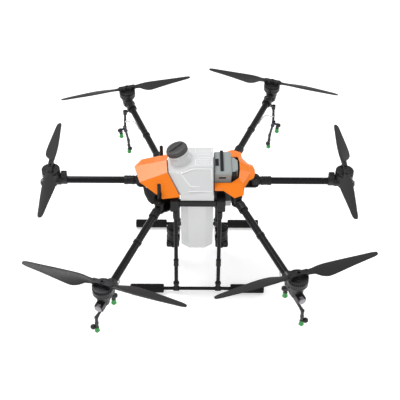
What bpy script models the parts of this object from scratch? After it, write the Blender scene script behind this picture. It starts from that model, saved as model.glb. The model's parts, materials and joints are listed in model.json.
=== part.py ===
"""Agricultural spray drone with six folding arms, built as an assembly.

Metres, +Z up, standing on z = 0. The nose points to -X and the drone's left side to -Y.
"""

import math

import bmesh
import bpy
from mathutils import Matrix, Vector

GAP = 0.0003  # between pieces that touch

# Propellers and motors
PROP_RADIUS = 0.381
BOLT_RADIUS = 0.038  # hub centre to a blade's fold bolt
BELL_RADIUS = 0.0455
BELL_TOP = -0.0112  # the motor bell, from the propeller's plane
BELL_BOTTOM = -0.0515
LAMP_REACH = 0.0595  # from the motor's axis to the lamp's outer face

# Arms
ARM_RADIUS = 0.0175
SLEEVE_RADIUS = 0.023
CLAMP_RADIUS = 0.0265  # the bulging rings that grip a tube at its motor
SIDE_PIN_Y = 0.172
# name, fold pin, motor axis, height of the arm and of its propeller, spin (+1 is anticlockwise)
ARMS = (
    ("nose", (-0.283, 0.0), (-0.7315, 0.0), 0.5404, 0.6204, -1),
    ("tail", (0.283, 0.0), (0.7315, 0.0), 0.5404, 0.6204, 1),
    ("front_left", (-0.187, -SIDE_PIN_Y), (-0.4055, -0.7737), 0.5102, 0.5952, -1),
    ("front_right", (-0.187, SIDE_PIN_Y), (-0.4055, 0.7737), 0.5102, 0.5952, 1),
    ("rear_left", (0.190, -SIDE_PIN_Y), (0.4226, -0.7680), 0.5558, 0.6478, 1),
    ("rear_right", (0.190, SIDE_PIN_Y), (0.4226, 0.7680), 0.5558, 0.6478, -1),
)
KNUCKLE_HALF = 0.018  # half height of the arm's knuckle
LUG_INNER = 0.0185  # a lug's faces, above and below the arm's axis
LUG_OUTER = 0.0265
LUG_RADIUS = 0.026
PIN_RADIUS = 0.006
CLIP_FROM_PIN = 0.273  # the ring on a side arm
HOSE_FROM_PIN = {-1: 0.470, 1: 0.378}  # where a hose meets a left and a right arm

# Landing gear
SKID_Y = 0.253
SKID_Z = 0.0235
SKID_HALF = 0.3475
SKID_TUBE = 0.009
FOAM_INNER = 0.172
FOAM_OUTER = 0.347
FOAM_SIDES = 12
STRUT_X = 0.108
STRUT_RADIUS = 0.010
STRUT_TOP = (0.170, 0.4845)  # y and z where a strut meets its frame
RING_Z = 0.183

# Frames, rails and tank
FRAME_INNER = 0.0925  # the frames' faces towards the tank
HANGER_FACE = 0.0955  # a pump hanger's face towards its pump
BLOCK_LOW = 0.487
BLOCK_HIGH = 0.556
FRONT_FRAME_HIGH = 0.5685
RAIL_LOW = 0.5144
RAIL_HIGH = 0.5495
RAIL_INNER = 0.1555
RAIL_OUTER = 0.178
TANK_FRONT = -0.083
TANK_BACK = 0.078
TANK_HALF = 0.150
TANK_LOW = 0.1915
SEAM_Z = 0.580  # where the deep lower box meets the wide top
NECK_RADIUS = 0.043
LID_CENTRE = Vector((-0.0995, 0.0, 0.718))  # middle of the lid's underside
LID_TILT = math.radians(-20)
LID_RADIUS = 0.0530

# Covers
COVER_THICKNESS = 0.003
POST_X = -0.187
POST_Y = 0.155
POST_RADIUS = 0.0095
POST_TOP = 0.637

# Pumps and battery
PUMP_RADIUS = 0.034
BATTERY_LOW = 0.522
BATTERY_HIGH = 0.655
BATTERY_HALF = 0.0915
BUMP_HIGH = 0.641  # top of the battery's rear end

FINISHES = {
    "orange": ((0.87, 0.27, 0.03), 0.35, 0.0),
    "black": ((0.025, 0.026, 0.028), 0.45, 0.0),
    "carbon": ((0.03, 0.03, 0.032), 0.35, 0.0),
    "white": ((0.82, 0.83, 0.84), 0.35, 0.0),
    "grey": ((0.36, 0.39, 0.41), 0.45, 0.0),
    "foam": ((0.02, 0.02, 0.02), 0.9, 0.0),
    "bell": ((0.03, 0.03, 0.035), 0.4, 0.6),
    "hose": ((0.62, 0.63, 0.62), 0.35, 0.0),
}


def make_finishes():
    """One material for each finish."""
    made = {}
    for name, (colour, roughness, metallic) in FINISHES.items():
        finish = bpy.data.materials.new(name)
        finish.use_nodes = True
        shader = finish.node_tree.nodes["Principled BSDF"]
        shader.inputs["Base Color"].default_value = (*colour, 1.0)
        shader.inputs["Roughness"].default_value = roughness
        shader.inputs["Metallic"].default_value = metallic
        made[name] = finish
    return made


# ---- solids -------------------------------------------------------------------------------


def as_object(bm):
    """Turn a bmesh into an object of its own, with its faces pointing out."""
    bmesh.ops.recalc_face_normals(bm, faces=bm.faces)
    if bm.calc_volume(signed=True) < 0:
        bmesh.ops.reverse_faces(bm, faces=bm.faces)
    mesh = bpy.data.meshes.new("solid")
    bm.to_mesh(mesh)
    bm.free()
    piece = bpy.data.objects.new("solid", mesh)
    bpy.context.scene.collection.objects.link(piece)
    return piece


def cylinder(start, end, radius, end_radius=None, segments=14):
    """A cylinder or cone from one point to another."""
    start, end = Vector(start), Vector(end)
    axis = end - start
    bm = bmesh.new()
    bmesh.ops.create_cone(
        bm,
        cap_ends=True,
        segments=segments,
        radius1=radius,
        radius2=radius if end_radius is None else end_radius,
        depth=axis.length,
    )
    turn = Vector((0, 0, 1)).rotation_difference(axis).to_matrix().to_4x4()
    bm.transform(Matrix.Translation((start + end) / 2) @ turn)
    return as_object(bm)


def convex(points):
    """The closed body that wraps a set of points."""
    bm = bmesh.new()
    for point in points:
        bm.verts.new(point)
    wrapped = bmesh.ops.convex_hull(bm, input=bm.verts)
    spare = [v for v in wrapped["geom_interior"] if isinstance(v, bmesh.types.BMVert)]
    bmesh.ops.delete(bm, geom=spare, context="VERTS")
    bmesh.ops.dissolve_limit(bm, angle_limit=math.radians(0.5), verts=bm.verts, edges=bm.edges)
    return as_object(bm)


def box(low, high, bevel=0.0):
    """A box between two corners, with its edges rounded off where a bevel is given."""
    corners = [
        (x, y, z) for x in (low[0], high[0]) for y in (low[1], high[1]) for z in (low[2], high[2])
    ]
    piece = convex(corners)
    if bevel:
        bm = bmesh.new()
        bm.from_mesh(piece.data)
        bmesh.ops.bevel(bm, geom=bm.edges, offset=bevel, segments=1, affect="EDGES")
        bm.to_mesh(piece.data)
        bm.free()
    return piece


def plate(discs, low, high, segments=12):
    """A flat plate that wraps discs given as x, y and radius."""
    points = []
    for x, y, radius in discs:
        for step in range(segments):
            angle = math.tau * (step + 0.5) / segments
            for z in (low, high):
                points.append((x + radius * math.cos(angle), y + radius * math.sin(angle), z))
    return convex(points)


def mirrored(points):
    """Points on one side, followed by their mirror images across y = 0."""
    return list(points) + [(x, -y, z) for x, y, z in points]


def boolean(body, tools, operation):
    """Join solids to a body, or cut them out of it, and keep only the result."""
    for tool in tools:
        step = body.modifiers.new(operation.lower(), "BOOLEAN")
        step.operation = operation
        step.solver = "EXACT"
        step.object = tool
    depsgraph = bpy.context.evaluated_depsgraph_get()
    body.data = bpy.data.meshes.new_from_object(body.evaluated_get(depsgraph))
    body.modifiers.clear()
    for tool in tools:
        bpy.data.objects.remove(tool, do_unlink=True)
    return body


def join(body, *others):
    return boolean(body, others, "UNION")


def cut(body, *others):
    return boolean(body, others, "DIFFERENCE")


def named(piece, name, finish, origin=(0, 0, 0), parent=None, smooth_angle=35):
    """Name a piece, finish it, and put its origin at a point of its own joint or seat."""
    piece.name = name
    piece.data.name = name
    piece.data.materials.clear()
    piece.data.materials.append(FINISH[finish])
    piece.data.shade_smooth()
    piece.data.set_sharp_from_angle(angle=math.radians(smooth_angle))
    piece.data.transform(Matrix.Translation(-Vector(origin)))
    piece.location = origin
    if parent is not None:
        piece.parent = parent
        piece.location = Vector(origin) - parent.location
    return piece


# ---- airframe -----------------------------------------------------------------------------


def hinge_lugs(pin, anchor, arm_z):
    """The two lugs and the pin that hold one arm."""
    discs = ((pin[0], pin[1], LUG_RADIUS), (anchor[0], anchor[1], LUG_RADIUS))
    upper = plate(discs, arm_z + LUG_INNER, arm_z + LUG_OUTER)
    lower = plate(discs, arm_z - LUG_OUTER, arm_z - LUG_INNER)
    pin_low = (pin[0], pin[1], arm_z - LUG_OUTER - 0.001)
    pin_high = (pin[0], pin[1], arm_z + LUG_OUTER + 0.001)
    return [upper, lower, cylinder(pin_low, pin_high, PIN_RADIUS, segments=10)]


def frame(end, top, bottom, hull_high, hull_low):
    """One moulded end frame: its hull, arm lugs, rail blocks and pump hanger."""
    outline = [(x, y, hull_high) for x, y in top] + [(x, y, hull_low) for x, y in bottom]
    body = convex(mirrored(outline))
    pieces = []
    for _, pin, _, arm_z, _, _ in ARMS:
        if pin[0] * end < 0:
            continue
        anchor = (pin[0], math.copysign(0.112, pin[1])) if pin[1] else (end * 0.232, 0.0)
        pieces += hinge_lugs(pin, anchor, arm_z)
    for side in (-1, 1):
        block_x = sorted((end * FRAME_INNER, end * 0.135))
        block_y = sorted((side * 0.110, side * 0.186))
        low = (block_x[0], block_y[0], BLOCK_LOW)
        high = (block_x[1], block_y[1], BLOCK_HIGH)
        pieces.append(box(low, high, bevel=0.004))
    hanger_x = sorted((end * FRAME_INNER, end * HANGER_FACE))
    pieces.append(box((hanger_x[0], -0.025, 0.150), (hanger_x[1], 0.025, 0.520)))
    return join(body, *pieces)


# Ribs of the front frame on one side: below the hinge, and out to the cover's edge
GUSSETS = (
    (
        (-0.205, 0.165, 0.4845),
        (-0.165, 0.180, 0.4845),
        (-0.1145, 0.150, 0.4845),
        (-0.1145, 0.110, 0.4845),
        (-0.215, 0.100, 0.4845),
        (-0.200, 0.118, 0.480),
        (-0.1145, 0.118, 0.480),
        (-0.174, 0.160, 0.460),
        (-0.150, 0.155, 0.463),
    ),
    (
        (-0.270, 0.090, 0.572),
        (-0.2635, 0.100, 0.531),
        (-0.245, 0.115, 0.497),
        (-0.2244, 0.130, 0.489),
        (-0.236, 0.085, 0.553),
        (-0.200, 0.118, 0.553),
        (-0.215, 0.088, 0.482),
        (-0.190, 0.105, 0.482),
    ),
)


def nose_gusset(side, corners):
    return convex([(x, side * y, z) for x, y, z in corners])


def make_frames():
    front_top = ((-0.258, 0.052), (-0.236, 0.090), (-0.192, 0.126), (-FRAME_INNER, 0.136))
    front_low = ((-0.225, 0.050), (-0.215, 0.088), (-0.185, 0.112), (-FRAME_INNER, 0.112))
    front = frame(-1, front_top, front_low, FRONT_FRAME_HIGH, 0.478)
    gussets = [nose_gusset(side, corners) for side in (-1, 1) for corners in GUSSETS]
    named(join(front, *gussets), "frame_front", "black")
    rear_top = ((0.0785, 0.136), (0.200, 0.136), (0.218, 0.098), (0.238, 0.055))
    rear_low = ((0.0785, 0.112), (0.190, 0.112), (0.215, 0.088), (0.225, 0.050))
    rear = frame(1, rear_top, rear_low, 0.5835, 0.500)
    bay = box((0.070, -BATTERY_HALF - 0.002, 0.5195), (0.2035, BATTERY_HALF + 0.002, 0.650))
    named(cut(rear, bay), "frame_rear", "black")
    for side, name in ((-1, "left"), (1, "right")):
        inner, outer = sorted((side * RAIL_INNER, side * RAIL_OUTER))
        reach = FRAME_INNER - GAP
        rail = box((-reach, inner, RAIL_LOW), (reach, outer, RAIL_HIGH), bevel=0.003)
        named(rail, "side_rail_" + name, "black")


def shell(corners, faces):
    """A thin moulded cover from the corners of its outer face, open below."""
    bm = bmesh.new()
    verts = [bm.verts.new(corner) for corner in corners]
    for face in faces:
        bm.faces.new([verts[index] for index in face])
    piece = as_object(bm)
    if sum(polygon.normal.z for polygon in piece.data.polygons) < 0:
        piece.data.flip_normals()
    thicken = piece.modifiers.new("thickness", "SOLIDIFY")
    thicken.thickness = COVER_THICKNESS
    thicken.offset = -1
    thicken.use_even_offset = True
    depsgraph = bpy.context.evaluated_depsgraph_get()
    piece.data = bpy.data.meshes.new_from_object(piece.evaluated_get(depsgraph))
    piece.modifiers.clear()
    return piece


def make_front_cover():
    """Faceted nose cover: a ridged roof, steep sides and a skirt that turns in below."""
    middle = [(-0.311, 0.0, 0.6226), (-0.1545, 0.0, 0.6630), (-0.288, 0.0, 0.5870)]
    side = [
        (-0.281, 0.090, 0.5990),
        (-0.1475, 0.072, 0.6430),
        (-0.0870, 0.175, 0.5820),
        (-0.1685, 0.175, 0.5660),
        (-0.262, 0.083, 0.5770),
        (-0.166, 0.165, 0.5610),
        (-0.0870, 0.165, 0.5680),
    ]
    corners = middle + [(x, -y, z) for x, y, z in side] + side
    tip, seam, chin = 0, 1, 2
    faces = []
    for first in (3, 10):
        brow, shoulder, heel, corner, cheek, hem, hem_back = range(first, first + 7)
        faces += [
            (tip, seam, shoulder, brow),
            (brow, shoulder, heel, corner),
            (tip, brow, cheek, chin),
            (brow, corner, hem, cheek),
            (corner, heel, hem_back, hem),
        ]
    cover = shell(corners, faces)
    reach = POST_RADIUS + 0.002
    slots = []
    for side in (-1, 1):
        discs = ((POST_X, side * POST_Y, reach), (POST_X, side * 0.210, reach))
        slots.append(plate(discs, 0.50, 0.70, segments=14))
    named(cut(cover, *slots), "front_cover", "orange", smooth_angle=5)


def make_rear_cover():
    """Faceted tail cover, which opens around the battery."""
    inner = [
        (0.081, 0.105, 0.609),
        (0.163, 0.105, 0.610),
        (0.200, 0.085, 0.626),
        (0.207, 0.030, 0.638),
    ]
    crease = [
        (0.081, 0.142, 0.606),
        (0.130, 0.142, 0.606),
        (0.218, 0.110, 0.606),
        (0.262, 0.024, 0.612),
    ]
    outer = [
        (0.081, 0.150, 0.594),
        (0.1235, 0.150, 0.594),
        (0.2215, 0.174, 0.5885),
        (0.285, 0.018, 0.597),
    ]
    low = (0.1765, 0.196, 0.588)
    notch = [(0.2275, 0.119, 0.587), (0.2520, 0.070, 0.596), (0.2760, 0.052, 0.597)]
    side = inner + crease + outer + [low] + notch
    corners = [(x, -y, z) for x, y, z in side] + side
    count = len(side)
    faces = []
    for first in (0, count):
        indices = range(first, first + count)
        i0, i1, i2, i3, c0, c1, c2, c3, o0, o1, o2, o3, low_point, n0, n1, n2 = indices
        faces += [
            (i0, i1, c1, c0),
            (i1, i2, c2, c1),
            (i2, i3, c3, c2),
            (c0, c1, o1, o0),
            (c1, low_point, o1),
            (c1, c2, low_point),
            (c2, o2, low_point),
            (c2, n0, o2),
            (c2, n1, n0),
            (c2, c3, n1),
            (c3, n2, n1),
            (c3, o3, n2),
        ]
    faces += [(3, 3 + count, 7 + count, 7), (7, 7 + count, 11 + count, 11)]
    named(shell(corners, faces), "rear_cover", "orange", smooth_angle=5)


def make_posts():
    """The two short antenna posts that rise through the nose cover."""
    base = ARMS[2][3] + LUG_OUTER + GAP
    for side, name in ((-1, "left"), (1, "right")):
        post = cylinder((POST_X, side * POST_Y, base), (POST_X, side * POST_Y, POST_TOP), POST_RADIUS)
        named(post, "antenna_" + name, "black")


def make_internals():
    """The flight controller under the nose cover and the flow meter under the tail frame."""
    deck = FRONT_FRAME_HIGH + GAP
    controller = box((-0.225, -0.042, deck), (-0.165, 0.042, deck + 0.026), bevel=0.003)
    named(controller, "flight_controller", "black")
    meter = join(
        box((0.131, -0.108, 0.462), (0.165, -0.078, 0.500 - GAP), bevel=0.003),
        cylinder((0.122, -0.093, 0.480), (0.174, -0.093, 0.480), 0.008, segments=10),
    )
    named(meter, "flow_meter", "grey")


# ---- landing gear -------------------------------------------------------------------------


def make_landing_gear():
    """Two skids on struts, with foam sleeves on the skids' ends."""
    for side, name in ((-1, "left"), (1, "right")):
        y = side * SKID_Y
        skid = cylinder((-SKID_HALF, y, SKID_Z), (SKID_HALF, y, SKID_Z), SKID_TUBE, segments=10)
        pieces = []
        for end in (-1, 1):
            x = end * STRUT_X
            foot = Vector((x, y, SKID_Z))
            head = Vector((x, side * STRUT_TOP[0], STRUT_TOP[1]))
            down = (foot - head).normalized()
            ring = head + down * ((head.z - RING_Z) / -down.z)
            pieces += [
                cylinder(head, foot, STRUT_RADIUS, segments=10),
                cylinder(head + down * 0.001, head + down * 0.045, 0.0145, segments=10),
                cylinder(ring - down * 0.020, ring + down * 0.020, 0.0135, segments=10),
                cylinder(foot - down * 0.044, foot - down * 0.026, 0.0160, segments=10),
                cylinder(foot - down * 0.030, foot, 0.0120, segments=10),
                cylinder((x - 0.016, y, SKID_Z), (x + 0.016, y, SKID_Z), 0.0135, segments=10),
            ]
        named(join(skid, *pieces), "landing_leg_" + name, "carbon")
        for end, end_name in ((-1, "front"), (1, "rear")):
            foam = cylinder(
                (end * FOAM_INNER, y, SKID_Z),
                (end * FOAM_OUTER, y, SKID_Z),
                SKID_Z / math.cos(math.pi / FOAM_SIDES),
                segments=FOAM_SIDES,
            )
            turn_foam_flat(foam, y)
            bore_start = (end * (FOAM_INNER - 0.01), y, SKID_Z)
            bore_end = (end * (FOAM_OUTER + 0.01), y, SKID_Z)
            bore = cylinder(bore_start, bore_end, SKID_TUBE + 0.0009, segments=10)
            named(cut(foam, bore), "skid_foam_" + end_name + "_" + name, "foam")


def turn_foam_flat(foam, y):
    """Turn a sleeve half a facet about its axis, so that a flat facet lies on the ground."""
    axis = Matrix.Translation((0, y, SKID_Z))
    foam.data.transform(axis @ Matrix.Rotation(math.pi / FOAM_SIDES, 4, "X") @ axis.inverted())


# ---- tank, pumps and battery --------------------------------------------------------------


def make_tank():
    """The lift-out tank: a deep lower box, a wide faceted top and the filler neck."""
    outline = (
        (TANK_FRONT, TANK_HALF - 0.026),
        (TANK_FRONT + 0.036, TANK_HALF),
        (TANK_BACK - 0.036, TANK_HALF),
        (TANK_BACK, TANK_HALF - 0.026),
    )
    floor = (
        (TANK_FRONT + 0.022, TANK_HALF - 0.042),
        (TANK_FRONT + 0.042, TANK_HALF - 0.024),
        (TANK_BACK - 0.042, TANK_HALF - 0.024),
        (TANK_BACK - 0.022, TANK_HALF - 0.042),
    )
    lower = [(x, y, TANK_LOW) for x, y in floor]
    for z in (TANK_LOW + 0.030, SEAM_Z):
        lower += [(x, y, z) for x, y in outline]
    flange = box((TANK_FRONT - 0.0005, -0.1715, RAIL_HIGH + GAP), (TANK_BACK, 0.1715, SEAM_Z + 0.002))
    upper = mirrored(
        [
            (-0.0815, 0.172, SEAM_Z),
            (0.0745, 0.172, SEAM_Z),
            (-0.0815, 0.172, 0.584),
            (0.0745, 0.172, 0.600),
            (-0.0400, 0.158, 0.606),
            (0.0745, 0.158, 0.607),
            (-0.0720, 0.118, 0.646),
            (-0.1000, 0.103, 0.660),
            (-0.1430, 0.070, 0.6405),
            (-0.1430, 0.070, SEAM_Z),
            (-0.0300, 0.078, 0.6860),
            (0.0745, 0.078, 0.6870),
        ]
    )
    upper += [(-0.150, 0, 0.6610), (-0.150, 0, SEAM_Z), (-0.030, 0, 0.6910), (0.0745, 0, 0.6920)]
    tilt = Matrix.Rotation(LID_TILT, 3, "Y")
    up = tilt @ Vector((0, 0, 1))
    boss = cylinder(LID_CENTRE - up * 0.066, LID_CENTRE - up * 0.024, 0.066, 0.048, 18)
    neck = cylinder(LID_CENTRE - up * 0.030, LID_CENTRE - up * GAP, NECK_RADIUS, segments=18)
    tank = join(convex(mirrored(lower)), convex(upper), flange, boss, neck)
    tank = named(tank, "tank", "white", smooth_angle=20)
    lid = cylinder(LID_CENTRE, LID_CENTRE + up * 0.022, LID_RADIUS, segments=22)
    crown_low = LID_CENTRE + up * 0.021
    crown = cylinder(crown_low, crown_low + up * 0.007, LID_RADIUS - 0.001, LID_RADIUS - 0.008, 22)
    grip = box((-0.042, -0.006, 0.026), (0.042, 0.006, 0.036), bevel=0.002)
    grip.data.transform(Matrix.Translation(LID_CENTRE) @ tilt.to_4x4())
    named(join(lid, crown, grip), "tank_lid", "black", LID_CENTRE, tank)


def make_pumps():
    """A spray pump on each frame's hanger: a motor standing on a square head."""
    for end, name in ((-1, "front"), (1, "rear")):
        near = HANGER_FACE + GAP
        x = end * (near + PUMP_RADIUS)
        head_x = sorted((end * near, end * (near + 2 * PUMP_RADIUS)))
        head = box((head_x[0], -0.036, 0.108), (head_x[1], 0.036, 0.150), bevel=0.004)
        motor = cylinder((x, 0, 0.148), (x, 0, 0.222), PUMP_RADIUS)
        cap = cylinder((x, 0, 0.220), (x, 0, 0.232), 0.0240)
        spouts = [
            cylinder((x, side * 0.032, 0.128), (x, side * 0.052, 0.128), 0.008, segments=8)
            for side in (-1, 1)
        ]
        named(join(head, motor, cap, *spouts), "pump_" + name, "black")


def make_battery():
    """The lift-out battery, with its raised rear end and carrying handle."""
    low, high, half = BATTERY_LOW, BATTERY_HIGH, BATTERY_HALF
    main = box((0.0795, -half, low), (0.1655, half, high), bevel=0.006)
    bump = ((0.150, 0.058), (0.178, 0.058), (0.197, 0.034))
    rear = convex(mirrored([(x, y, z) for x, y in bump for z in (low + 0.002, BUMP_HIGH)]))
    sockets = box((0.150, -0.074, low + 0.004), (0.190, 0.074, 0.618), bevel=0.004)
    battery = named(join(main, rear, sockets), "battery", "grey")
    bar = box((0.1095, -0.073, high + 0.003), (0.1255, 0.088, high + 0.008), bevel=0.0015)
    feet = [
        box((0.1105, y - 0.006, high + GAP), (0.1245, y + 0.006, high + 0.006)) for y in (-0.065, 0.080)
    ]
    named(join(bar, *feet), "battery_handle", "black", (0.118, 0, high), battery)


# ---- arms ---------------------------------------------------------------------------------


def make_arm_mesh(length, side_arm):
    """One arm along +X from its fold pin: knuckle, sleeve, tube and rings."""
    knuckle = cylinder((0, 0, -KNUCKLE_HALF), (0, 0, KNUCKLE_HALF), 0.0215)
    pieces = [
        box((0.008, -0.014, -KNUCKLE_HALF + 0.001), (0.045, 0.014, KNUCKLE_HALF - 0.001)),
        cylinder((0.032, 0, 0), (0.086, 0, 0), SLEEVE_RADIUS),
        cylinder((0.030, 0, 0), (length - 0.020, 0, 0), ARM_RADIUS),
    ]
    if side_arm:
        ring = (CLIP_FROM_PIN - 0.008, 0, 0), (CLIP_FROM_PIN + 0.008, 0, 0)
        pieces.append(cylinder(*ring, ARM_RADIUS + 0.0025))
    arm = join(knuckle, *pieces)
    return cut(arm, cylinder((0, 0, -0.03), (0, 0, 0.03), PIN_RADIUS + 0.0008, segments=10))


def make_motor_base(rise, with_tower):
    """Clamp, speed controller and fixed half of a motor, around the motor's axis."""
    start = -0.078 if with_tower else -0.066
    base = cylinder((start, 0, 0), (0.024, 0, 0), SLEEVE_RADIUS)
    collar = cylinder((-0.048, 0, 0), (-0.024, 0, 0), CLAMP_RADIUS)
    top = rise + BELL_BOTTOM - 0.0015
    waist = top - 0.018
    cone = cylinder((0, 0, -0.028), (0, 0, waist + 0.001), 0.0255, 0.0312, 18)
    cup = cylinder((0, 0, waist), (0, 0, top), 0.0310, 0.0415, 18)
    controller = convex(
        mirrored(
            [
                (-0.030, 0.019, -0.002),
                (LAMP_REACH - 0.006, 0.019, -0.004),
                (LAMP_REACH - 0.006, 0.019, -0.030),
                (-0.012, 0.017, -0.040),
            ]
        )
    )
    lamp = cylinder((0.040, 0, -0.017), (LAMP_REACH, 0, -0.017), 0.0155, segments=12)
    pieces = [collar, cone, cup, controller, lamp]
    if with_tower:
        pieces.append(box((-0.077, -0.015, 0.015), (-0.047, 0.015, 0.048), bevel=0.003))
    body = join(base, *pieces)
    tube_hole = cylinder((-0.100, 0, 0), (-0.0195, 0, 0), ARM_RADIUS + 0.0006)
    return cut(body, tube_hole)


def make_rotor():
    """Motor bell with the two plates and two bolts that hold a pair of folding blades."""
    bell = cylinder((0, 0, BELL_BOTTOM), (0, 0, BELL_TOP - 0.004), BELL_RADIUS, segments=20)
    crown_low = (0, 0, BELL_TOP - 0.0045)
    crown = cylinder(crown_low, (0, 0, BELL_TOP), BELL_RADIUS - 0.0005, BELL_RADIUS - 0.008, 20)
    post = cylinder((0, 0, BELL_TOP - 0.002), (0, 0, 0.0125), 0.0125, segments=10)
    discs = ((-BOLT_RADIUS, 0, 0.0125), (BOLT_RADIUS, 0, 0.0125))
    upper = plate(discs, 0.0062, 0.0098, segments=8)
    lower = plate(discs, -0.0098, -0.0062, segments=8)
    bolts = [
        cylinder((x, 0, -0.0115), (x, 0, 0.0115), 0.0036, segments=8)
        for x in (-BOLT_RADIUS, BOLT_RADIUS)
    ]
    return join(bell, crown, post, upper, lower, *bolts)


# A blade's sections: distance from the hub, chord, distance of the leading edge ahead of the bolt
BLADE_SECTIONS = (
    (0.046, 0.021, 0.0105),
    (0.070, 0.034, 0.0150),
    (0.100, 0.056, 0.0185),
    (0.132, 0.065, 0.0195),
    (0.190, 0.058, 0.0180),
    (0.250, 0.047, 0.0150),
    (0.310, 0.036, 0.0115),
    (0.355, 0.028, 0.0090),
    (0.374, 0.020, 0.0060),
    (PROP_RADIUS, 0.012, 0.0030),
)
BLADE_PITCH = 0.250  # how far a turn of the propeller would screw forward
# Outline of one section: share of the chord behind the leading edge, height over the half thickness
BLADE_OUTLINE = ((0.0, 0.0), (0.2, 1.0), (0.6, 0.8), (1.0, 0.0), (0.6, -0.7), (0.2, -0.9))


def make_blade(spin):
    """One blade along +X from its bolt at the origin, leading edge towards the spin."""
    bm = bmesh.new()
    rings = []
    for reach, chord, lead in BLADE_SECTIONS:
        twist = min(math.atan(BLADE_PITCH / (math.tau * reach)), math.radians(17))
        twist *= min(1.0, (reach - 0.040) / 0.050)
        half = max(0.0045 - 0.011 * (reach - 0.046), 0.0012)
        ring = []
        for back, rise in BLADE_OUTLINE:
            across = lead - back * chord
            y = across * math.cos(twist) - rise * half * math.sin(twist)
            z = across * math.sin(twist) + rise * half * math.cos(twist)
            ring.append(bm.verts.new((reach - BOLT_RADIUS, spin * y, z)))
        rings.append(ring)
    count = len(BLADE_OUTLINE)
    for inner, outer in zip(rings, rings[1:]):
        for step in range(count):
            following = (step + 1) % count
            bm.faces.new((inner[step], inner[following], outer[following], outer[step]))
    bm.faces.new(rings[0])
    bm.faces.new(rings[-1])
    blade = as_object(bm)
    eye = cylinder((0, 0, -0.0052), (0, 0, 0.0052), 0.0120, segments=10)
    return cut(join(blade, eye), cylinder((0, 0, -0.01), (0, 0, 0.01), 0.0042, segments=8))


# ---- spray booms --------------------------------------------------------------------------

BOOM_INBOARD = 0.085  # clamp to the motor's axis, along the arm
ROD_RADIUS = 0.0070
TIP_DROP = 0.036  # a nozzle's valve down to the middle of its spray tip
# Each boom's points from its clamp: outboard along X, towards the drone's middle, and up
LEFT_BOOM = {
    "bracket": (0.000, 0.000, -0.036),
    "tee": (0.020, 0.034, -0.116),
    "inner_valve": (-0.0025, 0.046, -0.1225),
    "inner_tip": (0.004, 0.043, -0.159),
    "elbow": (0.084, 0.000, -0.220),
    "outer_valve": (0.103, 0.000, -0.283),
    "outer_tip": (0.086, 0.000, -0.300),
}
RIGHT_BOOM = {
    "bracket": (0.039, 0.014, -0.018),
    "tee": (0.042, 0.034, -0.116),
    "inner_valve": (0.0715, 0.046, -0.1225),
    "inner_tip": (0.0655, 0.043, -0.159),
    "elbow": (0.030, 0.004, -0.222),
    "outer_valve": (0.024, 0.000, -0.283),
    "outer_tip": (0.029, 0.000, -0.300),
}


def boom_points(pin, motor, arm_z):
    """Key points of a boom in the world, its arm's direction and the way out across the arm."""
    pin, motor = Vector((*pin, arm_z)), Vector((*motor, arm_z))
    along = (motor - pin).normalized()
    clamp = motor - along * BOOM_INBOARD
    outboard = math.copysign(1, motor.x)
    side = 1 if motor.y > 0 else -1
    across = Vector((-along.y, along.x, 0)) * math.copysign(1, -along.y * outboard)
    layout = LEFT_BOOM if motor.y < 0 else RIGHT_BOOM
    points = {"clamp": clamp, "hose": pin + along * HOSE_FROM_PIN[side]}
    for name, (out, towards, up) in layout.items():
        points[name] = clamp + Vector((outboard * out, -side * towards, up))
    return points, along, across


def nozzle(top, valve, tip):
    """A nozzle: its upright body, the round check valve beside it and the spray tip below."""
    down = Vector((0, 0, -1))
    body_low = Vector((tip.x, tip.y, tip.z + 0.016))
    side = Vector((math.copysign(0.0105, valve.x - tip.x), 0, 0))
    stub = Vector((valve.x, valve.y, tip.z + 0.020))
    return [
        cylinder(top - down * 0.006, body_low, 0.0092, segments=8),
        cylinder(valve - side, valve + side, 0.0132, segments=10),
        cylinder(stub, body_low - down * 0.003, 0.0065, segments=6),
        cylinder(body_low - down * 0.001, tip + down * 0.012, 0.0105, 0.0130, 8),
    ]


def make_boom(points, along):
    """Clamp, bracket, rods, tee and the two nozzles under one side arm."""
    clamp, bracket, tee, elbow = (points[key] for key in ("clamp", "bracket", "tee", "elbow"))
    inner_top = points["inner_tip"] + Vector((0, 0, TIP_DROP + 0.004))
    fall = (elbow - tee).normalized()
    ring = cylinder(clamp - along * 0.012, clamp + along * 0.012, CLAMP_RADIUS, segments=16)
    hold = cylinder(clamp.lerp(bracket, 0.45), bracket, 0.0085, segments=8)
    ring = cut(
        join(ring, hold),
        cylinder(clamp - along * 0.020, clamp + along * 0.020, ARM_RADIUS + 0.0009),
    )
    pieces = [
        cylinder(bracket + Vector((0, 0, 0.012)), bracket - Vector((0, 0, 0.016)), 0.0115, segments=8),
        cylinder(bracket, tee, ROD_RADIUS, segments=8),
        cylinder(tee - fall * 0.017, tee + fall * 0.026, 0.0112, segments=8),
        cylinder(tee, inner_top, 0.0062, segments=8),
        cylinder(tee, elbow, ROD_RADIUS, segments=8),
    ]
    pieces += nozzle(inner_top, points["inner_valve"], points["inner_tip"])
    pieces += nozzle(elbow, points["outer_valve"], points["outer_tip"])
    return join(ring, *pieces)


def smooth_route(points, spacing):
    """Points at an even spacing along a smooth curve through a few chosen points."""
    dense = []
    ends = [points[0] * 2 - points[1]] + points + [points[-1] * 2 - points[-2]]
    for before, start, end, after in zip(ends, ends[1:], ends[2:], ends[3:]):
        for step in range(40):
            t = step / 40
            dense.append(
                0.5
                * (
                    2 * start
                    + (end - before) * t
                    + (2 * before - 5 * start + 4 * end - after) * t**2
                    + (3 * start - before - 3 * end + after) * t**3
                )
            )
    dense.append(points[-1])
    route = [dense[0]]
    for point in dense:
        if (point - route[-1]).length >= spacing:
            route.append(point)
    if (dense[-1] - route[-1]).length < spacing / 2:
        route.pop()
    route.append(dense[-1])
    return route


HOSE_RADIUS = 0.0032
HOSE_GAP = 0.0018  # from a hose's flat end to the round piece it meets


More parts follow.
